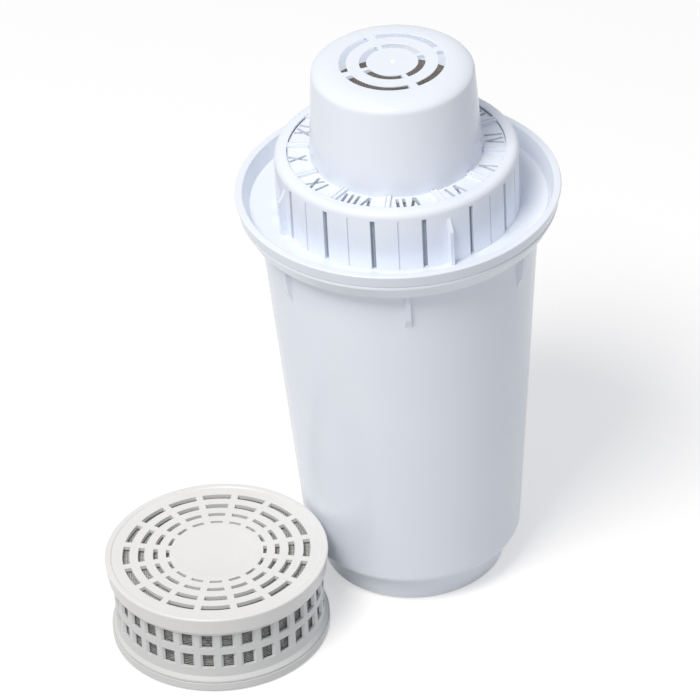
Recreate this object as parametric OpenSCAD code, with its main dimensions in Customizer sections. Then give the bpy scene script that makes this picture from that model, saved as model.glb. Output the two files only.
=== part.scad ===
// Jug water filter: a tall cup-shaped cartridge with a slotted collar, a month
// dial and a vent dome, and the round mineral puck that stands beside it.
// Millimetres, +Z up. The origin is the middle of the cartridge's flat foot.
// Angles named *_turn are counted from the front (-Y) towards the right (+X).

/* [Foot] */
// Height of the outlet cap below the cup
foot_h = 8.9; // [6:0.1:14]
// Step in from the cup's bottom edge to the outlet cap
foot_step = 2.55; // [1.5:0.05:4]
// Loss of the outlet cap's radius down to where it stands
foot_taper = 2.2; // [0.5:0.1:3]
// Thickness of the foot's floor
foot_floor_t = 1.8; // [1:0.1:3]
// Step in from the outlet cap's top to the spigot that plugs into the cup
spigot_step = 3.8; // [3:0.1:6]
// Wall of the spigot
spigot_wall = 1.6; // [1:0.1:2.5]
// Height of the spigot above the cup's floor
spigot_rise = 0.9; // [0.4:0.1:3]
// Number of outlet slots in the foot
outlet_slots = 12; // [6:1:16]
// Width of one outlet slot
outlet_slot_w = 1.4; // [0.8:0.1:2]
// Radius of the plain disc in the middle of the foot
foot_hub_r = 8; // [6:0.5:12]

/* [Cup] */
// Height of the cup from its bottom edge to the flange
cup_h = 106.9; // [80:0.1:140]
// Loss of the cup's radius from the flange to its bottom
cup_taper = 7.95; // [3:0.05:9]
// Wall of the cup
cup_wall = 1.6; // [1:0.1:2.2]
// Thickness of the cup's floor ledge
cup_floor_t = 1.8; // [1:0.1:3]
// Rounding of the cup's bottom edge
cup_edge = 2.3; // [0.5:0.1:2.5]
// Angle from the middle rib of a group of three under the flange to the outer two
rib_spread = 56; // [45:0.5:60]
// Length of a rib under the flange
rib_h = 12.8; // [8:0.1:25]
// Thickness of a rib at the cup; its edge is half as thick
rib_t = 2; // [1.4:0.1:2.6]
// How far a rib stands out of the cup
rib_out = 1.6; // [0.8:0.1:2.2]

/* [Flange and rim] */
// Outer radius of the rim at its top
flange_r = 45; // [42:0.1:50]
// How far the rim stands out from the cup under the flange
flange_reach = 6.3; // [5.6:0.1:8]
// Slope of the flange's edge: how far inside its top the flat seat under it ends
seat_inset = 2.1; // [1.6:0.1:2.4]
// Thickness of the cup's flange plate
flange_t = 1.4; // [1:0.1:2.5]
// Height of the seam between cup and cover, above the seat
seam_h = 4.8; // [4.2:0.1:5.4]
// Gap of the seam
seam_gap = 0.15; // [0.1:0.05:0.3]
// Thickness of the cover's floor beside the collar
floor_t = 1.7; // [1:0.1:2.5]
// Rise of the cover's floor from the collar to the rim
floor_rise = 1.3; // [0.4:0.1:1.8]
// Height of the rim above the edge of the floor
rim_h = 4.4; // [3:0.1:8]
// Thickness of the rim at its top
rim_t = 2.15; // [1.5:0.05:2.6]
// Inward lean of the rim's inner face, top to floor
rim_lean = 1.65; // [0.5:0.05:2]
// Loss of outer radius from the rim's top to the seam
rim_flare = 0.9; // [0.3:0.1:1.2]
// Wall of the cup's nesting lip at the seam
nest_wall = 1.4; // [1.2:0.1:1.6]
// Radial clearance where one moulding plugs into another
plug_gap = 0.1; // [0.05:0.05:0.2]

/* [Collar and dial] */
// Step in from the cup's top to the collar
collar_step = 5.1; // [4:0.1:6]
// Wall of the collar
collar_wall = 1.1; // [0.9:0.1:1.5]
// Height of the collar above the floor
collar_h = 18.4; // [16:0.1:26]
// Rounding of the collar's top edge
collar_edge = 1.8; // [0.5:0.1:2.2]
// Width of the lip that turns in at the collar's top
lip_w = 3.5; // [2:0.1:3.8]
// Thickness of the lip's inner edge
lip_t = 0.5; // [0.4:0.05:0.6]
// Pitch of the collar's slots, in degrees
slot_pitch = 24; // [20:4:30]
// Width of one collar slot
slot_w = 1.3; // [0.8:0.1:2]
// Height left plain between the slots and the collar's top
slot_top_margin = 2.5; // [2.2:0.1:5]
// Width of the fine line midway between two slots
line_w = 0.35; // [0.2:0.05:0.6]
// Depth of that line
line_d = 0.25; // [0.1:0.05:0.5]
// Number of upright fins on the collar
fin_count = 4; // [2:1:4]
// Thickness of a fin
fin_t = 1.1; // [0.8:0.1:2]
// How far a fin stands out of the collar
fin_out = 1.9; // [1:0.1:2.5]
// Depth of the dial below the collar's top
dial_drop = 0.9; // [0.7:0.1:1.6]
// Thickness of the dial plate
dial_t = 1.4; // [1:0.1:2]
// Width of the dial between the lip and the dome
dial_w = 6.1; // [5:0.1:7]
// Width of the ribs that part the months
spoke_w = 1.9; // [1.5:0.1:2.5]
// Width of the groove along the top of those ribs
spoke_groove_w = 0.6; // [0.4:0.05:0.8]
// Share of the dial's width that a numeral fills
numeral_share = 0.81; // [0.6:0.01:0.85]
// Width of a numeral's stroke
stroke_w = 0.85; // [0.6:0.05:1.1]
// Step from one upright stroke to the next
stroke_pitch = 1.8; // [1.5:0.1:2]
// Width of the numerals V and X
wide_glyph_w = 3.2; // [2.4:0.1:3.4]

/* [Dome] */
// Height of the dome above the dial
dome_h = 28.2; // [18:0.1:45]
// Loss of the dome's radius from its foot to its shoulder
dome_draft = 1.55; // [0.5:0.05:4]
// Width of the shoulder's rounding
dome_edge_w = 7.2; // [2:0.1:7.5]
// Height of the shoulder's rounding
dome_edge_h = 3.2; // [2:0.1:6]
// Wall of the dome
dome_wall = 1.6; // [1:0.1:2]
// Thickness of the dome's top, which the vents flare through
dome_top_t = 1; // [0.7:0.05:1.5]
// How far a vent flares out, each way, to the underside of the top
vent_flare = 1; // [0.3:0.05:1.1]
// Outer radius of the outer ring of vents
vent_outer_r = 14.5; // [13:0.1:15]
// Outer radius of the inner ring of vents
vent_inner_r = 9; // [6:0.1:10]
// Width of a vent
vent_w = 1.9; // [1:0.05:2.2]
// Angle left solid between two vents of a ring
vent_bridge = 10; // [6:1:20]
// Number of vents in each ring
vent_count = 4; // [3:1:6]
// Depth of the dome's mesh below its top
dome_mesh_drop = 12.6; // [8:0.1:20]
// Width of the ledge that the dome's mesh lies on
dome_ledge = 0.6; // [0.5:0.1:1.2]
// Depth of the dome's snap skirt below the dial plate
snap_depth = 1.6; // [1.2:0.1:2.5]

/* [Filter stack] */
// Thickness of a filter mesh
mesh_t = 0.3; // [0.2:0.05:0.4]
// Thickness of the lower and upper felt pads
felt_t = 3; // [1.5:0.1:4]
// Thickness of the felt between resin and carbon
separator_t = 2; // [1:0.1:4]
// Height of the carbon bed
carbon_h = 42; // [20:0.5:60]
// Clearance between the filling and the wall round it
pack_gap = 0.2; // [0.1:0.05:0.4]

/* [Puck] */
// Height of the puck
puck_h = 25.8; // [23:0.1:40]
// Outer radius of the puck's lid
lid_r = 31.5; // [31.3:0.1:33]
// Thickness of the lid's skirt at its top, with its clearance
skirt_t = 1.85; // [1.6:0.05:2.4]
// Wall of the puck's basket
basket_wall = 0.9; // [0.8:0.1:1.6]
// How far the puck's base ring stands in from the lid's edge
puck_base_inset = 0.6; // [0.2:0.1:1]
// Height of the puck's base ring
puck_base_h = 2.6; // [2.2:0.1:3.2]
// Depth of the lid's skirt below the lid's plate
skirt_h = 5; // [3:0.1:6]
// Thickness of the lid's plate
lid_t = 1.6; // [1:0.1:2.5]
// Radial running clearance of the lid on the basket
lid_fit = 0.08; // [0.03:0.01:0.1]
// Gap left between the lid's plate and the basket's top
lid_seat = 0.1; // [0.05:0.05:0.3]
// Number of window columns round the puck
window_columns = 32; // [24:2:36]
// Width of a window
window_w = 2.85; // [2:0.05:3]
// Height of a window
window_h = 4.6; // [3:0.1:4.8]
// Height of the band between the two window rows
window_band = 2.3; // [1.5:0.1:3]
// How far the sides of a window flare out, each way, to the puck's surface
window_flare = 0.7; // [0.3:0.05:0.9]
// Depth of that flare
window_flare_d = 0.7; // [0.4:0.05:1]
// Number of bars across each slot ring of the lid
lid_bars = 16; // [12:2:20]
// Width of those bars
lid_bar_w = 2; // [1.4:0.1:2.6]
// Clear gap between the puck and the cup: the lid lifts past the cup's taper
puck_gap = 1.2; // [0.9:0.1:20]
// Direction of the puck from the cup, in degrees from the front
puck_turn = -60.3; // [-90:0.1:0]

/* [Hidden] */
$fn = 128;
over = 1;

// Heights of the cartridge, from the foot up
seat_z = foot_h + cup_h;
plate_z = seat_z + flange_t;
floor_z = plate_z + floor_t;
floor_edge_z = floor_z + floor_rise;
rim_top_z = floor_edge_z + rim_h;
seam_z = seat_z + seam_h;
collar_top_z = floor_z + collar_h;
dial_z = collar_top_z - dial_drop;
dial_under_z = dial_z - dial_t;
dome_top_z = dial_z + dome_h;
shoulder_z = dome_top_z - dome_edge_h;
dome_mesh_z = dome_top_z - dome_mesh_drop;
slot_top_z = collar_top_z - slot_top_margin;
ledge_z = foot_h + cup_floor_t;
spigot_top_z = ledge_z + spigot_rise;
// Seam between the cup and the outlet cap
cap_gap = 0.2;
// Depth of the cover's skirt in the cup's mouth
plug_skirt_h = 2.2;

// Radii of the cartridge
cup_top_r = flange_r - flange_reach;
cup_bottom_r = cup_top_r - cup_taper;
foot_top_r = cup_bottom_r - foot_step;
foot_bottom_r = foot_top_r - foot_taper;
spigot_r = foot_top_r - spigot_step;
collar_r = cup_top_r - collar_step;
rim_in_r = flange_r - rim_t;
floor_edge_r = rim_in_r - rim_lean;
lip_seam_r = flange_r - rim_flare;
nest_r = lip_seam_r - nest_wall;
seat_r = lip_seam_r - seat_inset;
plate_r = nest_r - plug_gap;
// The nest narrows by this much from the seam down to the flange plate
nest_taper = seat_inset / 2;
collar_in_r = collar_r - collar_wall;
lip_r = collar_r - lip_w;
mouth_r = cup_in_r(plate_z);
// The mouth narrows by this much over the depth of the skirt
mouth_taper = 0.2;
plug_skirt_r = mouth_r - plug_gap - mouth_taper;
plug_skirt_t = 1.5;
numeral_h = numeral_share * dial_w;
dome_foot_r = lip_r - dial_w - plug_gap;
dome_top_r = dome_foot_r - dome_draft;
// The dome stands on the dial plate with this much of its wall
dome_step = 0.8;
socket_r = dome_foot_r - dome_step;
dome_skirt_r = socket_r - plug_gap;
barb_out = 0.5;
spoke_in_r = dome_foot_r + plug_gap;
numeral_r = (spoke_in_r + lip_r) / 2;
spigot_in_r = spigot_r - spigot_wall;
cap_wall = 2;

// Turns of the patterns, in degrees from the front towards the right
fin_turn = 22.5;
line_turn = -1.5;
slot_turn = line_turn + slot_pitch / 2;
rib_turn = 1;
month_pitch = 30;
seventh_month_turn = 7.5;
numeral_nudge = -2.5;
months = ["I", "II", "III", "IV", "V", "VI", "VII", "VIII", "IX", "X", "XI", "XII"];
// A slot or line nearer to a fin than this is left out
fin_guard = 4;
// Height of the slots' lower end above the floor
slot_foot_margin = 0.3;
// Height of the upright band round the flange's edge
flange_band = 0.8;
// Depth of the lip's root below the top of the dial plate
lip_root = 0.15;

// Filter stack, from the foot up
outlet_mesh_z = foot_floor_t;
lower_felt_z = outlet_mesh_z + mesh_t;
resin_z = lower_felt_z + felt_t;
upper_felt_top_z = plate_z - plug_skirt_h;
upper_felt_z = upper_felt_top_z - felt_t;
carbon_z = upper_felt_z - carbon_h;
separator_z = carbon_z - separator_t;
cap_bore_r = foot_bottom_r - cap_wall;

// Clearance between a mesh and the moulding over or beside it
mesh_seat = 0.2;

// Puck
lid_under_z = puck_h - lid_t;
basket_top_z = lid_under_z - lid_seat;
skirt_bottom_z = lid_under_z - skirt_h;
basket_r = lid_r - skirt_t;
puck_base_r = lid_r - puck_base_inset;
skirt_in_r = basket_r + lid_fit;
lid_flare = 0.6;
skirt_bottom_r = lid_r - lid_flare;
skirt_slope_w = 0.9;
skirt_slope_h = 1.4;
basket_in_r = basket_r - basket_wall;
base_floor_t = 1.6;
base_seam = 0.1;
basket_foot_z = puck_base_h + base_seam;
basket_foot_h = 0.6;
basket_foot_inset = 0.35;
basket_foot_r = puck_base_r - basket_foot_inset;
basket_foot_slope = 1.1;
window_top_gap = 0.3;
window_top_z = skirt_bottom_z - window_top_gap;
window_zs = [window_top_z - window_h, window_top_z - 2 * window_h - window_band];
window_turn = 4.4;
base_spigot_r = basket_in_r - plug_gap;
base_spigot_h = 1.2;
base_spigot_wall = 1.5;
lid_slot_turn = -1;
// Outer radius of each slot ring as a share of the lid's, and its width
lid_rings = [[0.841 * lid_r, 1.9], [0.702 * lid_r, 1.75], [0.567 * lid_r, 1.3], [0.451 * lid_r, 0.95]];
puck_mesh_r = basket_in_r - plug_gap;
puck_fill_r = puck_mesh_r - mesh_t - pack_gap;
puck_top_mesh_z = basket_top_z - mesh_seat - mesh_t;
puck_upper_felt_t = 2.2;
puck_upper_felt_z = puck_top_mesh_z - puck_upper_felt_t;
puck_bottom_mesh_z = base_floor_t;
puck_lower_felt_z = puck_bottom_mesh_z + mesh_t;
puck_media_z = puck_base_h + base_spigot_h;
puck_reach = cup_r(puck_h) + lid_r + puck_gap;
puck_x = puck_reach * sin(puck_turn);
puck_y = -puck_reach * cos(puck_turn);

// Outer and inner radius of the cup at a height
function cup_r(z) = cup_bottom_r + (cup_top_r - cup_bottom_r) * (z - foot_h) / cup_h;
function cup_in_r(z) = cup_r(z) - cup_wall;
// Outer radius of the dome's side at a height, and the inner one above the ledge
function dome_r(z) = dome_foot_r - dome_draft * (z - dial_z) / (shoulder_z - dial_z);
function dome_in_r(z) = dome_r(z) - dome_wall;
// Points of an elliptic arc in the plane of radius and height
function arc(r, z, w, h, from, to, steps = 6) =
    [for (i = [0:steps]) let (a = from + (to - from) * i / steps) [r + w * cos(a), z + h * sin(a)]];
// Width of a glyph with the space after it, and the place where glyph i begins
function glyph_w(c) = c == "I" ? stroke_pitch : wide_glyph_w + stroke_pitch - stroke_w;
function glyph_start(word, i) = i == 0 ? 0 : glyph_start(word, i - 1) + glyph_w(word[i - 1]);
// Smallest angle between a turn and any fin
function fin_away(turn) =
    min([for (k = [0:fin_count - 1])
        let (d = (turn - fin_turn - k * 360 / fin_count) % 360) min(abs(d), 360 - abs(d))]);

module spun(outline) {
    rotate_extrude() polygon(outline);
}

// Puts a child that lies along +X at a turn from the front
module at_turn(turn) {
    rotate([0, 0, turn - 90]) children();
}

// An upright plate with its outline in the plane of radius and height
module web(outline, thick) {
    rotate([90, 0, 0]) linear_extrude(thick, center = true) polygon(outline);
}

module ring(r_out, r_in, z0, z1) {
    difference() {
        translate([0, 0, z0]) cylinder(r = r_out, h = z1 - z0);
        translate([0, 0, z0 - over]) cylinder(r = r_in, h = z1 - z0 + 2 * over);
    }
}

module disc(r, z0, z1) {
    translate([0, 0, z0]) cylinder(r = r, h = z1 - z0);
}

module at_puck() {
    translate([puck_x, puck_y, 0]) children();
}

// Cup with its flange, nesting lip and the ribs under the flange
module cup() {
    color("#eef3fa") {
        spun(concat(
            [[spigot_r + plug_gap, foot_h]],
            arc(cup_r(foot_h + cup_edge) - cup_edge, foot_h + cup_edge, cup_edge, cup_edge, -90, 0),
            [[cup_top_r, seat_z], [seat_r, seat_z], [lip_seam_r, seam_z - flange_band],
             [lip_seam_r, seam_z], [nest_r, seam_z], [nest_r - nest_taper, plate_z],
             [mouth_r, plate_z],
             [cup_in_r(ledge_z), ledge_z], [spigot_r + plug_gap, ledge_z]]
        ));
        for (side = [0, 180], k = [-1:1]) at_turn(rib_turn + side + k * rib_spread) flange_rib();
    }
}

// One rib under the flange: it thins outwards, and its foot slants back into the cup's wall
module flange_rib() {
    low = seat_z - rib_h;
    slant = 3;
    foot_share = 0.7;
    root = cup_wall / 2;
    top_z = seat_z + flange_t / 2;
    out_r = cup_top_r + rib_out;
    intersection() {
        web([
            [cup_r(low) - root, low], [cup_r(low), low],
            [cup_r(low + slant) + foot_share * rib_out, low + slant],
            [out_r, top_z], [cup_top_r - root, top_z]
        ], rib_t);
        linear_extrude(seat_z + flange_t) polygon([
            [cup_r(low) - cup_wall, -rib_t / 2], [cup_r(low), -rib_t / 2], [out_r + over, -rib_t / 4],
            [out_r + over, rib_t / 4], [cup_r(low), rib_t / 2], [cup_r(low) - cup_wall, rib_t / 2]
        ]);
    }
}

// Outlet cap: the foot, its slotted floor and the spigot that plugs into the cup
module outlet_cap() {
    top = foot_h - cap_gap;
    round_r = 0.8;
    floor_chamfer = 1.2;
    slot_end = 3;
    color("#e9eff8") difference() {
        spun(concat(
            [[0, 0]],
            arc(foot_bottom_r - round_r, round_r, round_r, round_r, -90, 0, 4),
            [[foot_top_r, top], [spigot_r, top], [spigot_r, spigot_top_z],
             [spigot_in_r, spigot_top_z], [cap_bore_r - floor_chamfer, foot_floor_t], [0, foot_floor_t]]
        ));
        for (k = [0:outlet_slots - 1])
            rotate([0, 0, k * 360 / outlet_slots])
                translate([foot_hub_r, -outlet_slot_w / 2, -over])
                    cube([cap_bore_r - slot_end - foot_hub_r, outlet_slot_w, foot_floor_t + 2 * over]);
    }
}

module outlet_mesh() {
    color("#8f959c") disc(spigot_in_r - 2 * pack_gap, outlet_mesh_z, outlet_mesh_z + mesh_t);
}

module lower_felt() {
    color("#f1efe8") disc(spigot_in_r - 2 * pack_gap, lower_felt_z, resin_z);
}

// A layer that fills the cup's tapered inside between two heights
module layer(z0, z1) {
    translate([0, 0, z0])
        cylinder(r1 = cup_in_r(z0) - pack_gap, r2 = cup_in_r(z1) - pack_gap, h = z1 - z0);
}

// Ion exchange resin: it fills the outlet cap's bore and the lower cup
module resin_bed() {
    color("#c9a15a") {
        disc(spigot_in_r - 2 * pack_gap, resin_z, spigot_top_z + over);
        layer(spigot_top_z, separator_z);
    }
}

module separator_felt() {
    color("#f1efe8") layer(separator_z, carbon_z);
}

module carbon_bed() {
    color("#26272a") layer(carbon_z, upper_felt_z);
}

module upper_felt() {
    color("#f1efe8") layer(upper_felt_z, upper_felt_top_z);
}

// Outline of the cover: floor, rim, plug skirt, collar and its turned-in lip
module cover_shell() {
    rim_round = 0.4;
    skirt_z = upper_felt_top_z;
    skirt_in_r = plug_skirt_r - plug_skirt_t;
    spun(concat(
        [[collar_in_r, plate_z], [skirt_in_r, plate_z], [skirt_in_r, skirt_z],
         [plug_skirt_r, skirt_z], [plug_skirt_r, plate_z], [plate_r - nest_taper, plate_z],
         [plate_r, seam_z + seam_gap], [lip_seam_r, seam_z + seam_gap]],
        arc(flange_r - rim_round, rim_top_z - rim_round, rim_round, rim_round, 0, 90, 4),
        arc(rim_in_r + rim_round, rim_top_z - rim_round, rim_round, rim_round, 90, 180, 4),
        [[floor_edge_r, floor_edge_z], [collar_r, floor_z]],
        arc(collar_r - collar_edge, collar_top_z - collar_edge, collar_edge, collar_edge, 0, 90),
        [[lip_r, collar_top_z], [lip_r, collar_top_z - lip_t], [collar_in_r, dial_z - lip_root]]
    ));
}

// One upright fin with a sloping top
module fin() {
    foot = floor_z - 0.5;
    tip = collar_top_z - 3.9;
    drop = 3.6;
    web([
        [collar_r - collar_wall / 2, foot], [collar_r + fin_out, foot],
        [collar_r + fin_out, tip - drop], [collar_r, tip], [collar_r - collar_wall / 2, tip]
    ], fin_t);
}

// One rib of the dial, from the dome to the collar's wall, with a groove along its top
module spoke() {
    sunk = 0.05;
    groove_d = 0.3;
    groove_r = lip_r + 0.2;
    lip_cover_r = lip_r + 0.5;
    top_z = collar_top_z - sunk;
    low_z = dial_under_z + lip_root;
    root_r = collar_in_r + collar_wall / 2;
    difference() {
        web([
            [spoke_in_r, low_z], [root_r, low_z], [root_r, dial_z - lip_root],
            [lip_cover_r, top_z], [spoke_in_r, top_z]
        ], spoke_w);
        translate([spoke_in_r - over, -spoke_groove_w / 2, top_z - groove_d])
            cube([groove_r - spoke_in_r + over, spoke_groove_w, over]);
    }
}

// One straight stroke through the dial plate, leaning by an angle
module stroke(lean) {
    rotate([0, 0, lean])
        translate([-stroke_w / 2, -numeral_h / cos(lean) / 2, dial_under_z - over])
            cube([stroke_w, numeral_h / cos(lean), dial_t + 2 * over]);
}

// I, V or X, standing with its top outwards
module glyph(c) {
    if (c == "I")
        stroke(0);
    if (c == "V") {
        lean = atan((wide_glyph_w - stroke_w) / 2 / numeral_h);
        for (side = [-1, 1])
            translate([side * (wide_glyph_w - stroke_w) / 4, 0, 0]) stroke(-side * lean);
    }
    if (c == "X") {
        lean = atan((wide_glyph_w - stroke_w) / numeral_h);
        for (side = [-1, 1]) stroke(side * lean);
    }
}

module numeral(word) {
    total = glyph_start(word, len(word)) - (stroke_pitch - stroke_w);
    for (i = [0:len(word) - 1]) {
        wide = word[i] == "I" ? stroke_w : wide_glyph_w;
        translate([glyph_start(word, i) + (wide - total) / 2, numeral_r, 0]) glyph(word[i]);
    }
}

// Cover: floor and rim, slotted collar with fins, and the dial plate on its spokes
module cover() {
    slots = round(360 / slot_pitch);
    slot_foot_z = floor_z + slot_foot_margin;
    color("#f3f6fb") difference() {
        union() {
            cover_shell();
            ring(lip_r, socket_r, dial_under_z, dial_z);
            for (k = [0:len(months) - 1])
                at_turn(seventh_month_turn + month_pitch / 2 + k * month_pitch) spoke();
            for (k = [0:fin_count - 1]) at_turn(fin_turn + k * 360 / fin_count) fin();
        }
        for (k = [0:slots - 1]) {
            slot_at = slot_turn + k * slot_pitch;
            line_at = line_turn + k * slot_pitch;
            if (fin_away(slot_at) > fin_guard)
                at_turn(slot_at) translate([collar_in_r - over, -slot_w / 2, slot_foot_z])
                    cube([collar_wall + 2 * over, slot_w, slot_top_z - slot_foot_z]);
            if (fin_away(line_at) > fin_guard)
                at_turn(line_at) translate([collar_r - line_d, -line_w / 2, slot_foot_z])
                    cube([line_d + over, line_w, slot_top_z - slot_foot_z]);
        }
        for (k = [0:len(months) - 1])
            at_turn(seventh_month_turn + numeral_nudge - (k - 6) * month_pitch)
                rotate([0, 0, -90]) numeral(months[k]);
    }
}

module collar_mesh() {
    side_top_z = dial_under_z - mesh_t - 2 * mesh_seat;
    color("#5c636d")
        ring(collar_in_r - plug_gap, collar_in_r - plug_gap - mesh_t, floor_z - mesh_seat, side_top_z);
}

module dial_mesh() {
    barb_r = dome_skirt_r + barb_out + plug_gap;
    color("#5c636d")
        ring(collar_in_r - plug_gap, barb_r, dial_under_z - mesh_t - mesh_seat, dial_under_z - mesh_seat);
}

// One arc-shaped vent through the dome's top: it flares out below a thin upright edge
module vent(r_out, turn) {
    edge = 0.12;
    in_r = r_out - vent_w;
    below_z = dome_top_z - dome_top_t;
    spread = vent_flare * (dome_top_t - edge + over) / (dome_top_t - edge);
    at_turn(turn + vent_bridge / 2)
        rotate_extrude(angle = 360 / vent_count - vent_bridge) polygon([
            [in_r - spread, below_z - over], [r_out + spread, below_z - over],
            [r_out, dome_top_z - edge], [r_out, dome_top_z + over],
            [in_r, dome_top_z + over], [in_r, dome_top_z - edge]
        ]);
}

// Dome: a thin shell with a ledge inside for its mesh and a snap skirt below the dial plate
module dome() {
    edge_r = dome_top_r - dome_edge_w;
    skirt_z = dial_under_z - snap_depth;
    barb_z = dial_under_z - plug_gap;
    barb_h = 0.3;
    dimple_d = 0.3;
    inner_w = dome_edge_w - dome_wall;
    inner_h = dome_edge_h - dome_top_t;
    color("#f3f6fb") difference() {
        spun(concat(
            [[dome_skirt_r - dome_wall, skirt_z], [dome_skirt_r, skirt_z],
             [dome_skirt_r + barb_out, barb_z - barb_h], [dome_skirt_r + barb_out, barb_z],
             [dome_skirt_r, barb_z], [dome_skirt_r, dial_z], [dome_foot_r, dial_z]],
            arc(edge_r, shoulder_z, dome_edge_w, dome_edge_h, 0, 90, 8),
            [[0, dome_top_z], [0, dome_top_z - dome_top_t]],
            arc(edge_r, shoulder_z, inner_w, inner_h, 90, 0, 8),
            [[dome_in_r(dome_mesh_z), dome_mesh_z], [dome_in_r(dome_mesh_z) - dome_ledge, dome_mesh_z]]
        ));
        for (k = [0:vent_count - 1]) {
            vent(vent_outer_r, fin_turn + k * 360 / vent_count);
            vent(vent_inner_r, fin_turn + k * 360 / vent_count);
        }
        translate([0, 0, dome_top_z - dimple_d]) cylinder(r1 = 0.5, r2 = 0.9, h = over);
    }
}

// Mesh that lies on the ledge inside the dome
module dome_mesh() {
    color("#6b6055") disc(dome_in_r(dome_mesh_z) - plug_gap, dome_mesh_z, dome_mesh_z + mesh_t);
}

// The puck's rings of slots, parted by the radial bars
module slot_rings(rings, z0, z1) {
    bar_in_r = min([for (r = lid_rings) r[0] - r[1]]) - over;
    difference() {
        for (r = rings) ring(r[0], r[0] - r[1], z0, z1);
        for (k = [0:lid_bars - 1])
            at_turn(lid_slot_turn + (k + 0.5) * 360 / lid_bars)
                translate([bar_in_r, -lid_bar_w / 2, z0 - over])
                    cube([basket_r - bar_in_r, lid_bar_w, z1 - z0 + 2 * over]);
    }
}

// Lid: slotted plate, a raised edge bead and the skirt that slides on the basket
module puck_lid() {
    bead_h = 0.3;
    bead_w = 1.6;
    dish_r = 9.5;
    dish_edge = 2;
    dish_d = 0.4;
    round_r = 0.5;
    top_z = puck_h - bead_h;
    color("#ececec") at_puck() difference() {
        spun(concat(
            [[0, lid_under_z], [skirt_in_r, lid_under_z], [skirt_in_r, skirt_bottom_z],
             [skirt_bottom_r - skirt_slope_w, skirt_bottom_z],
             [skirt_bottom_r, skirt_bottom_z + skirt_slope_h]],
            arc(lid_r - round_r, puck_h - round_r, round_r, round_r, 0, 90, 4),
            [[lid_r - bead_w, puck_h], [lid_r - bead_w - bead_h, top_z], [dish_r + dish_edge, top_z],
             [dish_r, top_z - dish_d / 2], [0, top_z - dish_d]]
        ));
        slot_rings(lid_rings, lid_under_z - over, puck_h + over);
    }
}

// Basket: the side wall on its sloping foot, with two rows of windows whose sides flare out
module puck_basket() {
    pitch = 360 / window_columns;
    color("#e4e4e4") at_puck() difference() {
        spun([
            [basket_in_r, basket_foot_z], [basket_foot_r, basket_foot_z],
            [basket_foot_r, basket_foot_z + basket_foot_h],
            [basket_r, basket_foot_z + basket_foot_h + basket_foot_slope],
            [basket_r, basket_top_z], [basket_in_r, basket_top_z]
        ]);
        for (z = window_zs, k = [0:window_columns - 1])
            at_turn(window_turn + k * pitch) translate([0, 0, z]) window();
    }
}

// One window, cut from the inside outwards
module window() {
    half = window_w / 2;
    wide = half + window_flare * (window_flare_d + over) / window_flare_d;
    out_r = basket_r + over;
    linear_extrude(window_h) polygon([
        [basket_in_r - over / 2, -half], [basket_r - window_flare_d, -half], [out_r, -wide],
        [out_r, wide], [basket_r - window_flare_d, half], [basket_in_r - over / 2, half]
    ]);
}

// Base: the ring the puck stands on, with a slotted floor and a short spigot
module puck_base() {
    round_r = 0.5;
    spigot_in = base_spigot_r - base_spigot_wall;
    slotted_r = spigot_in - base_spigot_wall;
    color("#e4e4e4") at_puck() difference() {
        spun(concat(
            [[0, 0]],
            arc(puck_base_r - round_r, round_r, round_r, round_r, -90, 0, 4),
            [[puck_base_r, puck_base_h], [base_spigot_r, puck_base_h],
             [base_spigot_r, puck_base_h + base_spigot_h], [spigot_in, puck_base_h + base_spigot_h],
             [spigot_in, base_floor_t], [0, base_floor_t]]
        ));
        slot_rings([for (r = lid_rings) if (r[0] < slotted_r) r], -over, base_floor_t + over);
    }
}

module puck_top_mesh() {
    color("#6f7377") at_puck() disc(puck_mesh_r, puck_top_mesh_z, puck_top_mesh_z + mesh_t);
}

module puck_side_mesh() {
    gap = mesh_seat / 2;
    color("#6f7377") at_puck()
        ring(puck_mesh_r, puck_mesh_r - mesh_t, puck_media_z + gap, puck_top_mesh_z - gap);
}

module puck_bottom_mesh() {
    color("#6f7377") at_puck()
        disc(base_spigot_r - base_spigot_wall - pack_gap, puck_bottom_mesh_z, puck_bottom_mesh_z + mesh_t);
}

module puck_upper_felt() {
    color("#f1efe8") at_puck() disc(puck_fill_r, puck_upper_felt_z, puck_top_mesh_z);
}

module puck_media() {
    color("#4b4a46") at_puck() disc(puck_fill_r, puck_media_z, puck_upper_felt_z);
}

module puck_lower_felt() {
    color("#f1efe8") at_puck()
        disc(base_spigot_r - base_spigot_wall - pack_gap, puck_lower_felt_z, puck_media_z);
}

cup();
outlet_cap();
outlet_mesh();
lower_felt();
resin_bed();
separator_felt();
carbon_bed();
upper_felt();
cover();
collar_mesh();
dial_mesh();
dome();
dome_mesh();
puck_lid();
puck_basket();
puck_base();
puck_top_mesh();
puck_side_mesh();
puck_bottom_mesh();
puck_upper_felt();
puck_media();
puck_lower_felt();
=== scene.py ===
import math

import bpy
from mathutils import Matrix, Vector


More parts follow.
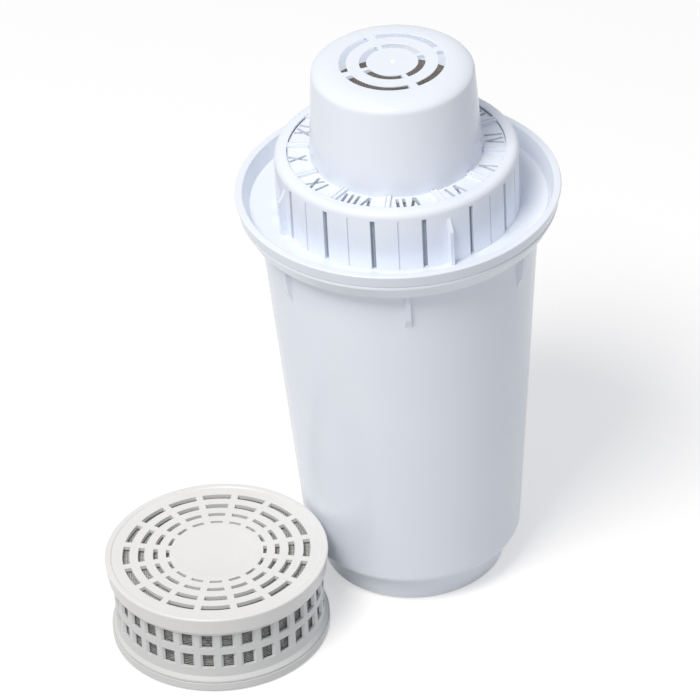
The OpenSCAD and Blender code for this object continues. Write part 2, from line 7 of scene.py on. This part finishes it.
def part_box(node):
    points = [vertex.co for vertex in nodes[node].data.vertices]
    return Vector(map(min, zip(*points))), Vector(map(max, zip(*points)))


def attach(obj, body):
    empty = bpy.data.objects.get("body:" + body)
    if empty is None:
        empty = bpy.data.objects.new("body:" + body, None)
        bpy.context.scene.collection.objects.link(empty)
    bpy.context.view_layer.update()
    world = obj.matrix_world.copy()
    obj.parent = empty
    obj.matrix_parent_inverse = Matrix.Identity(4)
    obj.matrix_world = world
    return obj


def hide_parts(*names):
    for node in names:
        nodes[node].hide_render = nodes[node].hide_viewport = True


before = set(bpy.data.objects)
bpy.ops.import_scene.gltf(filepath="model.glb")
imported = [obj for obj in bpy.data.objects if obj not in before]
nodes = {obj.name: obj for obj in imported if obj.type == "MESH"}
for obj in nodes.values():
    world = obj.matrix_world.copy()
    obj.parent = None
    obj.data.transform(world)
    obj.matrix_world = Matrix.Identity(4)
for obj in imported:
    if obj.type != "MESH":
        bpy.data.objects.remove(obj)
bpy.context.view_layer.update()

# Jug water filter: the cartridge from its foot up, then the mineral puck beside
# it, then the floor and light. Metres, +Z up, the origin in the middle of the foot.


# ---------------------------------------------------------------- cup
# The cup is one injection moulding in polypropylene with a faint blue tint.
# The mould leaves it a soft gloss, slow waves where the wall has shrunk, and
# edges that are only just rounded.

def colour(code):
    """Linear RGBA from an sRGB hex value."""
    levels = [int(code[i:i + 2], 16) / 255 for i in (1, 3, 5)]
    return [v / 12.92 if v <= 0.04045 else ((v + 0.055) / 1.055) ** 2.4 for v in levels] + [1.0]


def add_node(tree, kind, settings=None, links=None):
    """Adds one node: settings are its properties or unlinked inputs, links feed its inputs."""
    made = tree.nodes.new(kind)
    for name, value in (settings or {}).items():
        if isinstance(name, str) and hasattr(made, name):
            setattr(made, name, value)
        else:
            made.inputs[name].default_value = value
    for name, source in (links or {}).items():
        tree.links.new(source, made.inputs[name])
    return made


def start_material(name):
    """An empty node material with its output."""
    made = bpy.data.materials.new(name)
    made.use_nodes = True
    made.node_tree.nodes.clear()
    return made, made.node_tree, add_node(made.node_tree, "ShaderNodeOutputMaterial")


def dress(node, material):
    """The carried solid takes this material in every slot."""
    piece = nodes[node]
    piece.data.materials.clear()
    piece.data.materials.append(material)


def moulded_polypropylene(name, light, dark, gloss, wave_mm, grain_mm, painted_glow=0.0, rings=None):
    """Satin-gloss moulded polypropylene: two close tints, uneven gloss, slow sink waves, soft edges.
    painted_glow is a painted glow of the plastic's own tint on the faces inside a thin shell; rings is the
    centre and spacing (mm) of tool marks."""
    material, tree, out = start_material(name)
    spot = add_node(tree, "ShaderNodeTexCoord")
    place = spot.outputs["Object"]
    flow = add_node(tree, "ShaderNodeTexNoise",
                    {"Scale": 1000 / wave_mm, "Detail": 2.0, "Roughness": 0.4}, {"Vector": place})
    grain = add_node(tree, "ShaderNodeTexNoise",
                     {"Scale": 1000 / grain_mm, "Detail": 3.0, "Roughness": 0.55}, {"Vector": place})
    tint = add_node(tree, "ShaderNodeMix", {"data_type": "RGBA"}, {"Factor": flow.outputs["Fac"]})
    tint.inputs[6].default_value = colour(light)
    tint.inputs[7].default_value = colour(dark)
    sheen = add_node(tree, "ShaderNodeMapRange",
                     {"To Min": gloss - 0.02, "To Max": gloss + 0.03}, {"Value": grain.outputs["Fac"]})
    edge = add_node(tree, "ShaderNodeBevel", {"samples": 8, "Radius": 0.00025})
    skin = add_node(tree, "ShaderNodeBump", {"Strength": 0.2, "Distance": 0.0002},
                    {"Height": flow.outputs["Fac"], "Normal": edge.outputs["Normal"]})
    if rings:
        middle, spacing_mm = rings
        moved = add_node(tree, "ShaderNodeMapping",
                         {"vector_type": "POINT", "Location": (-middle[0], -middle[1], 0.0)},
                         {"Vector": place})
        flat = add_node(tree, "ShaderNodeVectorMath",
                        {"operation": "MULTIPLY", 1: (1, 1, 0)}, {0: moved.outputs["Vector"]})
        out_by = add_node(tree, "ShaderNodeVectorMath", {"operation": "LENGTH"}, {0: flat.outputs["Vector"]})
        turn = add_node(tree, "ShaderNodeMath",
                        {"operation": "MULTIPLY", 1: math.tau * 1000 / spacing_mm},
                        {0: out_by.outputs["Value"]})
        mark = add_node(tree, "ShaderNodeMath", {"operation": "SINE"}, {0: turn.outputs[0]})
        skin = add_node(tree, "ShaderNodeBump", {"Strength": 0.15, "Distance": 0.00004},
                        {"Height": mark.outputs[0], "Normal": skin.outputs["Normal"]})
    body = add_node(tree, "ShaderNodeBsdfPrincipled", {"IOR": 1.49},
                    {"Base Color": tint.outputs[2],
                     "Roughness": sheen.outputs["Result"],
                     "Normal": skin.outputs["Normal"]})
    # Painted glow: faces that look inwards or down emit the plastic's own tint, standing in for light let
    # through the thin wall.
    if painted_glow:
        flat = add_node(tree, "ShaderNodeVectorMath", {"operation": "MULTIPLY", 1: (1, 1, 0)}, {0: place})
        away = add_node(tree, "ShaderNodeVectorMath", {"operation": "NORMALIZE"}, {0: flat.outputs["Vector"]})
        round_in = add_node(tree, "ShaderNodeVectorMath", {"operation": "DOT_PRODUCT"},
                            {0: away.outputs["Vector"], 1: spot.outputs["Normal"]})
        wall = add_node(tree, "ShaderNodeMapRange",
                        {"From Min": -0.2, "From Max": -0.7, "To Max": painted_glow},
                        {"Value": round_in.outputs["Value"]})
        level = add_node(tree, "ShaderNodeSeparateXYZ", None, {"Vector": spot.outputs["Normal"]})
        roof = add_node(tree, "ShaderNodeMapRange",
                        {"From Min": -0.3, "From Max": -0.8, "To Max": painted_glow}, {"Value": level.outputs["Z"]})
        painted_glow_mask = add_node(tree, "ShaderNodeMath", {"operation": "MAXIMUM"},
                          {0: wall.outputs["Result"], 1: roof.outputs["Result"]})
        tree.links.new(tint.outputs[2], body.inputs["Emission Color"])
        tree.links.new(painted_glow_mask.outputs[0], body.inputs["Emission Strength"])
    tree.links.new(body.outputs["BSDF"], out.inputs["Surface"])
    return material


blue_white_plastic = moulded_polypropylene("polypropylene_moulded_blue_white",
                                           "#eff5fd", "#e7eefa", 0.2, 26.0, 0.9)
dress("cup", blue_white_plastic)


# ---------------------------------------------------------------- outlet cap
# The foot is a second moulding in the same plastic, pressed into the cup's
# bottom. It is set back under the cup's rounded edge, past a fine seam.
dress("outlet_cap", blue_white_plastic)


# ---------------------------------------------------------------- outlet mesh
# A disc of woven nylon that holds the beads back over the outlet slots.
# The real thread spacing is 0.4 mm; it is drawn at 0.7 mm so that it shows.

def woven_mesh(name, thread, hole, spacing_mm, thread_share, centre=(0.0, 0.0), round_wall=0.0, painted_glow=0.0):
    """Plain-woven monofilament. Flat discs run along X and Y; round_wall is the radius of an upright
    cylinder. painted_glow is a painted glow of the mesh's own tint, standing in for the light that the thin
    plastic beside the mesh lets through onto it."""
    material, tree, out = start_material(name)
    place = add_node(tree, "ShaderNodeTexCoord").outputs["Object"]
    moved = add_node(tree, "ShaderNodeMapping",
                     {"vector_type": "POINT", "Location": (-centre[0], -centre[1], 0.0)}, {"Vector": place})
    parts = add_node(tree, "ShaderNodeSeparateXYZ", None, {"Vector": moved.outputs["Vector"]})
    if round_wall:
        turn = add_node(tree, "ShaderNodeMath", {"operation": "ARCTAN2"},
                        {0: parts.outputs["Y"], 1: parts.outputs["X"]})
        arc = add_node(tree, "ShaderNodeMath", {"operation": "MULTIPLY", 1: round_wall}, {0: turn.outputs[0]})
        across = arc.outputs[0]
        along = parts.outputs["Z"]
    else:
        across, along = parts.outputs["X"], parts.outputs["Y"]
    rise = []
    for side in (across, along):
        wave = add_node(tree, "ShaderNodeMath",
                        {"operation": "MULTIPLY", 1: math.tau * 1000 / spacing_mm}, {0: side})
        sine = add_node(tree, "ShaderNodeMath", {"operation": "SINE"}, {0: wave.outputs[0]})
        rise.append(sine.outputs[0])
    over = add_node(tree, "ShaderNodeMath", {"operation": "MAXIMUM"}, {0: rise[0], 1: rise[1]})
    cover = add_node(tree, "ShaderNodeMapRange",
                     {"From Min": 1.0 - 2 * thread_share, "From Max": 1.2 - 2 * thread_share},
                     {"Value": over.outputs[0]})
    tint = add_node(tree, "ShaderNodeMix", {"data_type": "RGBA"}, {"Factor": cover.outputs["Result"]})
    tint.inputs[6].default_value = colour(hole)
    tint.inputs[7].default_value = colour(thread)
    bump = add_node(tree, "ShaderNodeBump",
                    {"Strength": 0.8, "Distance": 0.00015}, {"Height": over.outputs[0]})
    # The emission is a painted glow of the mesh's own tint, standing in for light through the plastic beside
    # it.
    body = add_node(tree, "ShaderNodeBsdfPrincipled",
                    {"IOR": 1.53, "Roughness": 0.45, "Emission Strength": painted_glow},
                    {"Base Color": tint.outputs[2],
                     "Emission Color": tint.outputs[2],
                     "Normal": bump.outputs["Normal"]})
    tree.links.new(body.outputs["BSDF"], out.inputs["Surface"])
    return material


dress("outlet_mesh", woven_mesh("nylon_mesh_outlet", "#b9c0c8", "#5d646c", 0.7, 0.45))


# ---------------------------------------------------------------- felts
# Needled polyester felt, white and matt, with short fibres that lie in every
# direction and a soft nap that catches light at its edge.

def needle_felt(name, light, dark):
    """Matt white felt with tangled fibres 0.15 mm apart and a slight nap."""
    material, tree, out = start_material(name)
    place = add_node(tree, "ShaderNodeTexCoord").outputs["Object"]
    bent = add_node(tree, "ShaderNodeTexNoise", {"Scale": 900.0, "Detail": 2.0}, {"Vector": place})
    twist = add_node(tree, "ShaderNodeVectorMath", {"operation": "MULTIPLY_ADD", 1: (0.002, 0.002, 0.002)},
                     {0: bent.outputs["Color"], 2: place})
    fibre = add_node(tree, "ShaderNodeTexNoise",
                     {"Scale": 5200.0, "Detail": 4.0, "Roughness": 0.7}, {"Vector": twist.outputs["Vector"]})
    tint = add_node(tree, "ShaderNodeMix", {"data_type": "RGBA"}, {"Factor": fibre.outputs["Fac"]})
    tint.inputs[6].default_value = colour(dark)
    tint.inputs[7].default_value = colour(light)
    bump = add_node(tree, "ShaderNodeBump",
                    {"Strength": 0.7, "Distance": 0.0002}, {"Height": fibre.outputs["Fac"]})
    body = add_node(tree, "ShaderNodeBsdfPrincipled",
                    {"Roughness": 0.95, "Sheen Weight": 0.3, "Sheen Roughness": 0.5},
                    {"Base Color": tint.outputs[2], "Normal": bump.outputs["Normal"]})
    tree.links.new(body.outputs["BSDF"], out.inputs["Surface"])
    return material


felt = needle_felt("polyester_needle_felt", "#f6f4ee", "#dcd8cd")
for node in ("lower_felt", "separator_felt", "upper_felt", "puck_upper_felt", "puck_lower_felt"):
    dress(node, felt)


# ---------------------------------------------------------------- resin, carbon and mineral beds
# The fillings are loose grains that the moulding packs tight: amber resin
# beads 0.6 mm across, black carbon grit of 1 mm and mineral beads of 1.6 mm.

def packed_grains(name, light, dark, grain_mm, gloss):
    """Grains packed side by side: each cell a rounded lump with its own tone, and painted shade darkening it
    towards the gap round it.
    """
    material, tree, out = start_material(name)
    place = add_node(tree, "ShaderNodeTexCoord").outputs["Object"]
    cell = add_node(tree, "ShaderNodeTexVoronoi", {"Scale": 1000 / grain_mm}, {"Vector": place})
    shade = add_node(tree, "ShaderNodeSeparateColor", None, {"Color": cell.outputs["Color"]})
    tint = add_node(tree, "ShaderNodeMix", {"data_type": "RGBA"}, {"Factor": shade.outputs["Red"]})
    tint.inputs[6].default_value = colour(dark)
    tint.inputs[7].default_value = colour(light)
    # Painted shade: each grain's colour is darkened towards its edge, where the shade between grains falls.
    painted_gap_shade = add_node(tree, "ShaderNodeMapRange",
                   {"From Min": 0.35, "From Max": 0.7, "To Min": 1.0, "To Max": 0.35},
                   {"Value": cell.outputs["Distance"]})
    shaded_tint = add_node(tree, "ShaderNodeVectorMath", {"operation": "SCALE"},
                    {0: tint.outputs[2], "Scale": painted_gap_shade.outputs["Result"]})
    bump = add_node(tree, "ShaderNodeBump",
                    {"Strength": 0.9, "Distance": grain_mm / 3000, "invert": True},
                    {"Height": cell.outputs["Distance"]})
    body = add_node(tree, "ShaderNodeBsdfPrincipled", {"Roughness": gloss},
                    {"Base Color": shaded_tint.outputs["Vector"], "Normal": bump.outputs["Normal"]})
    tree.links.new(body.outputs["BSDF"], out.inputs["Surface"])
    return material


dress("resin_bed", packed_grains("ion_exchange_resin_beads", "#d9a85a", "#a06f2c", 0.6, 0.3))
dress("carbon_bed", packed_grains("granular_activated_carbon", "#2d2d2f", "#121214", 1.0, 0.6))
dress("puck_media", packed_grains("mineral_ceramic_beads", "#c4bfb6", "#8f8980", 1.6, 0.55))


# ---------------------------------------------------------------- cover
# One moulding: the tray with its rim, the slotted collar and the month dial.
# Its edges are only just broken by the mould, so they catch a thin light.
dress("cover", blue_white_plastic)


# ---------------------------------------------------------------- rim weld bead
# The cover is welded to the cup all round: a hair-thin bead of melted plastic
# fills the seam, flat where it sits in the groove and rounded where it swelled out.
bead_r = 0.04395
bead_z = 0.120675
bead_half = 0.0002

bpy.ops.object.select_all(action="DESELECT")
bpy.ops.mesh.primitive_circle_add(vertices=10, radius=bead_half, rotation=(math.pi / 2, 0, 0),
                                  location=(bead_r, 0, bead_z))
rim_bead = bpy.context.object
rim_bead.name = "rim_weld_bead"
bpy.ops.object.transform_apply(location=True, rotation=True, scale=True)
for v in rim_bead.data.vertices:
    v.select = v.co.x < bead_r - bead_half / 5
bpy.ops.object.mode_set(mode="EDIT")
bpy.ops.mesh.select_mode(type="VERT")
bpy.ops.transform.resize(value=(0.2, 1, 0.36), center_override=(bead_r - bead_half, 0, bead_z))
bpy.ops.mesh.select_all(action="SELECT")
bpy.ops.transform.resize(value=(1, 1, 0.85), center_override=(bead_r, 0, bead_z))
bpy.ops.mesh.spin(steps=192, angle=math.tau, center=(0, 0, 0), axis=(0, 0, 1))
bpy.ops.mesh.select_all(action="SELECT")
bpy.ops.mesh.remove_doubles(threshold=0.000005)
bpy.ops.mesh.normals_make_consistent(inside=False)
bpy.ops.object.mode_set(mode="OBJECT")
bpy.ops.object.shade_smooth()
rim_bead.data.materials.append(blue_white_plastic)
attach(rim_bead, "cartridge")


# ---------------------------------------------------------------- collar and dial meshes
# Blue-grey nylon, bent round inside the collar and cut as a ring under the dial:
# it shows in the slots and through the numerals. The real weave is 0.5 mm; it
# is drawn at 0.7 mm so that it shows.
# Both meshes are given a faint painted glow of their own tint, standing in for light let through the plastic
# round them.
dress("collar_mesh", woven_mesh("nylon_mesh_collar", "#aab4be", "#808b96", 0.7, 0.4,
                                round_wall=0.032, painted_glow=0.14))
dress("dial_mesh", woven_mesh("nylon_mesh_dial", "#9fa8b1", "#7e8892", 0.7, 0.4, painted_glow=0.12))


# ---------------------------------------------------------------- dome
# The finger grip, a thin shell snapped into the dial, with two rings of vents.
# The light that its thin wall lets through is a painted glow on the inside faces, which keeps them pale.
# Its inside faces get a painted glow of the plastic's own tint.
dome_plastic = moulded_polypropylene("polypropylene_thin_shell_painted_glow",
                                     "#eff5fd", "#e7eefa", 0.2, 26.0, 0.9, painted_glow=0.4)
dress("dome", dome_plastic)


# ---------------------------------------------------------------- dome mesh
# A brown mesh lies on the ledge inside the dome.
dress("dome_mesh", woven_mesh("nylon_mesh_brown", "#85786a", "#665b4f", 0.7, 0.4))


# ---------------------------------------------------------------- puck lid, basket and base
# The puck is moulded in a plain white polypropylene with no blue in it. The basket and base
# are the same plastic, painted a shade greyer than the lid as painted shade. The lid's tool was turned
# on a lathe, which leaves rings 0.3 mm apart, drawn at 0.9 mm so that they show.
low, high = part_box("puck_lid")
puck_centre = ((low[0] + high[0]) / 2, (low[1] + high[1]) / 2)
white_plastic_painted_shade = moulded_polypropylene("polypropylene_moulded_white_painted_shade",
                                            "#d9dbdb", "#d2d4d4", 0.33, 18.0, 0.8)
turned_white_plastic = moulded_polypropylene("polypropylene_moulded_turned_tool",
                                             "#ececeb", "#e4e4e3", 0.3, 18.0, 0.8, rings=(puck_centre, 0.9))
dress("puck_lid", turned_white_plastic)
# The basket and base take the greyer copy of the white plastic: painted shade on the puck's lower part.
for node in ("puck_basket", "puck_base"):
    dress(node, white_plastic_painted_shade)


# ---------------------------------------------------------------- puck side mesh
# Grey polyester monofilament, plain woven, lines the basket behind its windows.
# The real threads lie 0.5 mm apart; they are drawn 0.6 mm apart so that they show.

def tube_step(direction, forward):
    """Draws the selected thread end on by one step."""
    bpy.ops.mesh.extrude_region_move(TRANSFORM_OT_translate={"value": (direction[0] + forward[0],
                                                                      direction[1] + forward[1],
                                                                      direction[2] + forward[2])})


def thread_material(name, light, dark):
    """Drawn polyester thread: grey, smooth, slightly uneven in shade from thread to thread."""
    material, tree, out = start_material(name)
    place = add_node(tree, "ShaderNodeTexCoord").outputs["Object"]
    uneven = add_node(tree, "ShaderNodeTexNoise", {"Scale": 700.0, "Detail": 2.0}, {"Vector": place})
    tint = add_node(tree, "ShaderNodeMix", {"data_type": "RGBA"}, {"Factor": uneven.outputs["Fac"]})
    tint.inputs[6].default_value = colour(dark)
    tint.inputs[7].default_value = colour(light)
    sheen = add_node(tree, "ShaderNodeMapRange",
                     {"To Min": 0.35, "To Max": 0.5}, {"Value": uneven.outputs["Fac"]})
    body = add_node(tree, "ShaderNodeBsdfPrincipled", {"IOR": 1.57},
                    {"Base Color": tint.outputs[2], "Roughness": sheen.outputs["Result"]})
    tree.links.new(body.outputs["BSDF"], out.inputs["Surface"])
    return material


grey_thread = thread_material("polyester_monofilament_grey", "#b3b8ba", "#9a9fa1")
low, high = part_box("puck_side_mesh")
cloth_margin = 0.00018
cloth_r = (high[0] - low[0]) / 2 - cloth_margin
upright_threads = 300
hoop_step = 0.0006
half_thread = 0.00011
hoops = int((high[2] - low[2] - 2 * half_thread) / hoop_step)
hem = 0.0001
hoop_low = low[2] + half_thread + hem

bpy.ops.object.select_all(action="DESELECT")
bpy.ops.mesh.primitive_torus_add(major_radius=cloth_r, minor_radius=half_thread, location=(0, 0, hoop_low),
                                 major_segments=upright_threads, minor_segments=4)
side_cloth = bpy.context.object
side_cloth.name = "puck_side_cloth"
bpy.ops.object.transform_apply(location=True, rotation=True, scale=True)
stack = side_cloth.modifiers.new("hoops", "ARRAY")
stack.count = hoops
stack.use_relative_offset = False
stack.use_constant_offset = True
stack.constant_offset_displace = (0, 0, hoop_step)
bpy.ops.object.modifier_apply(modifier="hoops")
for outward in (1, 0):
    for v in side_cloth.data.vertices:
        turn = round(math.atan2(v.co.y, v.co.x) / math.tau * upright_threads)
        level = round((v.co.z - hoop_low) / hoop_step)
        v.select = (turn + level) % 2 == outward
    grow = 1 + (half_thread if outward else -half_thread) / cloth_r
    bpy.ops.object.mode_set(mode="EDIT")
    bpy.ops.mesh.select_mode(type="VERT")
    bpy.ops.transform.resize(value=(grow, grow, 1), center_override=(0, 0, 0))
    bpy.ops.mesh.select_all(action="DESELECT")
    bpy.ops.object.mode_set(mode="OBJECT")

bpy.ops.object.mode_set(mode="EDIT")
for first in (0, 1):
    turn = first * math.tau / upright_threads
    aside = Vector((math.cos(turn), math.sin(turn), 0))
    swing = half_thread if first else -half_thread
    start = aside * (cloth_r - swing)
    bpy.ops.mesh.select_all(action="DESELECT")
    bpy.ops.mesh.primitive_circle_add(vertices=3, radius=half_thread * 1.1, fill_type="NGON",
                                      location=(start[0], start[1], hoop_low))
    for level in range(1, hoops):
        swing = -swing
        tube_step(aside * (-2 * swing), (0, 0, hoop_step))
bpy.ops.mesh.select_all(action="DESELECT")
bpy.ops.object.mode_set(mode="OBJECT")
upright_from = hoops * upright_threads * 4
for v in side_cloth.data.vertices:
    v.select = v.index >= upright_from
bpy.ops.object.mode_set(mode="EDIT")
bpy.ops.mesh.spin(steps=upright_threads // 2 - 1, dupli=True, angle=math.tau * (1 - 2 / upright_threads),
                  center=(0, 0, 0), axis=(0, 0, 1))
bpy.ops.mesh.select_all(action="SELECT")
bpy.ops.transform.translate(value=(puck_centre[0], puck_centre[1], 0))
bpy.ops.mesh.normals_make_consistent(inside=False)
bpy.ops.object.mode_set(mode="OBJECT")
bpy.ops.object.shade_smooth()
side_cloth.data.materials.append(grey_thread)
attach(side_cloth, "puck")
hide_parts("puck_side_mesh")


# ---------------------------------------------------------------- puck top and bottom meshes
# Discs cut from the same cloth. The top one shows through the lid's slots and
# is laid straight; its cut threads end at the basket's wall.
low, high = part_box("puck_top_mesh")
cloth_mid = (low[2] + high[2]) / 2
disc_r = (high[0] - low[0]) / 2 - hem
thread_step = 0.0006
across = int(disc_r / thread_step) + 1

bpy.ops.object.select_all(action="DESELECT")
bpy.ops.mesh.primitive_circle_add(vertices=3, radius=half_thread, fill_type="NGON",
                                  rotation=(0, math.pi / 2, 0),
                                  location=(-across * thread_step, -across * thread_step, cloth_mid))
top_cloth = bpy.context.object
top_cloth.name = "puck_top_cloth"
bpy.ops.object.transform_apply(location=True, rotation=True, scale=True)
bpy.ops.object.mode_set(mode="EDIT")
bpy.ops.mesh.select_all(action="SELECT")
rise = half_thread * 0.6
for run in range(4):
    along_x = run < 2
    odd = run % 2
    swing = rise if (odd == 0) == along_x else -rise
    if run:
        side = odd * thread_step - across * thread_step
        end = -across * thread_step
        bpy.ops.mesh.select_all(action="DESELECT")
        bpy.ops.mesh.primitive_circle_add(
            vertices=3, radius=half_thread, fill_type="NGON",
            rotation=(0, math.pi / 2, 0) if along_x else (math.pi / 2, 0, 0),
            location=(end, side, cloth_mid) if along_x else (side, end, cloth_mid))
    bpy.ops.transform.translate(value=(0, 0, swing))
    for cross in range(2 * across):
        swing = -swing
        tube_step((0, 0, 2 * swing), (thread_step, 0, 0) if along_x else (0, thread_step, 0))
bpy.ops.mesh.select_all(action="DESELECT")
bpy.ops.object.mode_set(mode="OBJECT")
one_run = 3 * (2 * across + 1)
for along_x in (True, False):
    for v in top_cloth.data.vertices:
        first = v.index < 2 * one_run
        v.select = first == along_x and v.index < 4 * one_run
    bpy.ops.object.mode_set(mode="EDIT")
    for copy in range(across):
        bpy.ops.mesh.duplicate_move(TRANSFORM_OT_translate={
            "value": (0, 2 * thread_step, 0) if along_x else (2 * thread_step, 0, 0)})
    bpy.ops.mesh.select_all(action="DESELECT")
    bpy.ops.object.mode_set(mode="OBJECT")
for face in top_cloth.data.polygons:
    face.select = face.center.xy.length > disc_r - thread_step / 2
for edge in top_cloth.data.edges:
    edge.select = False
bpy.ops.object.mode_set(mode="EDIT")
bpy.ops.mesh.select_mode(type="FACE")
bpy.ops.mesh.delete(type="FACE")
bpy.ops.mesh.select_all(action="SELECT")
bpy.ops.mesh.delete_loose()
bpy.ops.mesh.select_all(action="SELECT")
bpy.ops.mesh.fill_holes(sides=4)
bpy.ops.mesh.select_all(action="SELECT")
bpy.ops.transform.translate(value=(puck_centre[0], puck_centre[1], 0))
bpy.ops.mesh.normals_make_consistent(inside=False)
bpy.ops.object.mode_set(mode="OBJECT")
bpy.ops.object.shade_smooth()
top_cloth.data.materials.append(grey_thread)
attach(top_cloth, "puck")
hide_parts("puck_top_mesh")
dress("puck_bottom_mesh", woven_mesh("polyester_mesh_grey_flat", "#b4b8ba", "#6c7072", 0.8, 0.4,
                                     centre=puck_centre))


# ---------------------------------------------------------------- floor
# A sheet of white paper. Seen directly or mirrored it is near white, with the
# object's shadow on it, and the light that it throws back up is a paper's.
bpy.ops.object.select_all(action="DESELECT")
bpy.ops.mesh.primitive_plane_add(size=6.0, location=(0, 0, -0.0002))
floor = bpy.context.object
floor.name = "floor"
paper, tree, out = start_material("white_paper_floor")
seen = add_node(tree, "ShaderNodeLightPath")
sheet = add_node(tree, "ShaderNodeBsdfDiffuse", {"Color": (0.62, 0.62, 0.62, 1.0)})
lift = add_node(tree, "ShaderNodeEmission", {"Color": (1, 1, 1, 1), "Strength": 0.46})
white_sheet = add_node(tree, "ShaderNodeAddShader", None, {0: sheet.outputs[0], 1: lift.outputs[0]})
plain_sheet = add_node(tree, "ShaderNodeBsdfDiffuse", {"Color": (0.64, 0.64, 0.64, 1.0)})
shiny = add_node(tree, "ShaderNodeMath", {"operation": "MAXIMUM"},
                 {0: seen.outputs["Is Camera Ray"], 1: seen.outputs["Is Glossy Ray"]})
shown = add_node(tree, "ShaderNodeMath", {"operation": "MAXIMUM"},
                 {0: shiny.outputs[0], 1: seen.outputs["Is Transmission Ray"]})
pick = add_node(tree, "ShaderNodeMixShader", None,
                {0: shown.outputs[0], 1: plain_sheet.outputs[0], 2: white_sheet.outputs[0]})
tree.links.new(pick.outputs[0], out.inputs["Surface"])
floor.data.materials.append(paper)


# ---------------------------------------------------------------- room and lamp
# An even room of cool daylight, seen as white, and one big soft lamp with a
# warmer light, high up at the front left.
room = bpy.data.worlds.new("pale_room")
bpy.context.scene.world = room
room.use_nodes = True
room.node_tree.nodes.clear()
tree = room.node_tree
seen = add_node(tree, "ShaderNodeLightPath")
clear = add_node(tree, "ShaderNodeMath", {"operation": "MAXIMUM"},
                 {0: seen.outputs["Is Camera Ray"], 1: seen.outputs["Is Transmission Ray"]})
bare = add_node(tree, "ShaderNodeMath", {"operation": "MAXIMUM"},
                {0: clear.outputs[0], 1: seen.outputs["Is Glossy Ray"]})
even = add_node(tree, "ShaderNodeBackground", {"Color": (0.905, 0.93, 1.0, 1.0), "Strength": 0.455})
white = add_node(tree, "ShaderNodeBackground", {"Color": (1, 1, 1, 1), "Strength": 1.0})
mixed = add_node(tree, "ShaderNodeMixShader", None,
                 {0: bare.outputs[0], 1: even.outputs[0], 2: white.outputs[0]})
add_node(tree, "ShaderNodeOutputWorld", None, {"Surface": mixed.outputs[0]})

lamp_place = Vector((-0.47, -0.68, 1.45))
lamp_aim = Vector((0, 0, 0.06))
lamp = bpy.data.lights.new("key_front_left", "AREA")
lamp.size = 0.6
lamp.energy = 18.0
lamp.color = (1.0, 0.955, 0.895)
holder = bpy.data.objects.new("key_front_left", lamp)
bpy.context.collection.objects.link(holder)
holder.location = lamp_place
holder.rotation_euler = (lamp_aim - lamp_place).to_track_quat("-Z", "Y").to_euler()


# ---------------------------------------------------------------- camera
# A long lens 1.45 m away, which looks down on the object from the front.
look_down = math.radians(35.5236)
roll = math.radians(-3.0971)
lens = bpy.data.cameras.new("camera")
lens.sensor_width = 36.0
lens.lens = 257.143
lens.clip_end = 20.0
eye = bpy.data.objects.new("camera", lens)
bpy.context.collection.objects.link(eye)
eye.location = (-0.015603, -1.145124, 0.887153)
tilt = Matrix.Rotation(math.pi / 2 - look_down, 3, "X") @ Matrix.Rotation(roll, 3, "Z")
eye.rotation_euler = tilt.to_euler()
bpy.context.scene.camera = eye
bpy.context.scene.view_settings.view_transform = "Standard"
